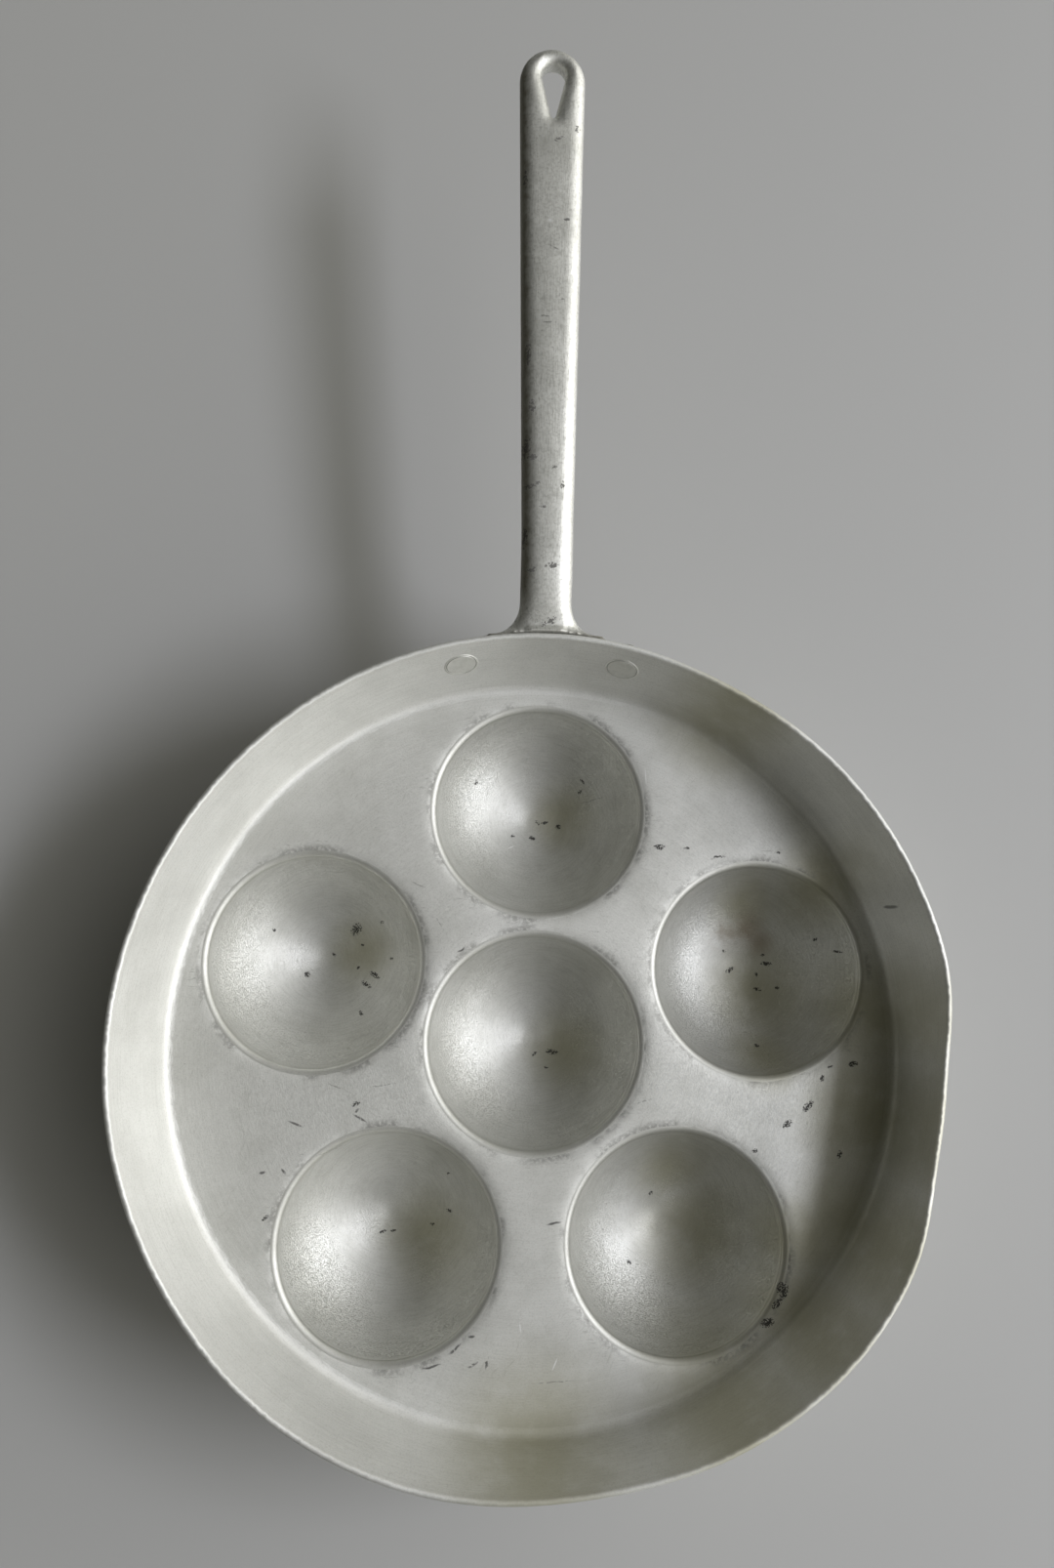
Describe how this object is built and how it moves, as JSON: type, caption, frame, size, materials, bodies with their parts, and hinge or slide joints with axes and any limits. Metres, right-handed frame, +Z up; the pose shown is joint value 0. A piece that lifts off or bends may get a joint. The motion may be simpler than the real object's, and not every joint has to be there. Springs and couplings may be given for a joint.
{
  "type": "well pan",
  "caption": "Round pressed aluminium pan with deep bowl-shaped wells in its floor, a flared wall and a riveted cast handle with a hanging eye.",
  "frame": {"origin": "on the standing plane, at the middle of the foot under the middle well", "axes": "+Z up out of the pan, +Y along the handle away from the pan, +X to the right when looking along the handle"},
  "size_m": [0.22, 0.3855, 0.0689],
  "materials": {
    "pan_sheet": "worn satin, brushed round each bowl",
    "cast_handle": "cast, rubbed smooth",
    "rivet": "hammered flat"
  },
  "bodies": {
    "root": {"pan_body": "pan_sheet", "handle": "cast_handle", "rivet_left": "rivet", "rivet_right": "rivet"}
  },
  "joints": []
}
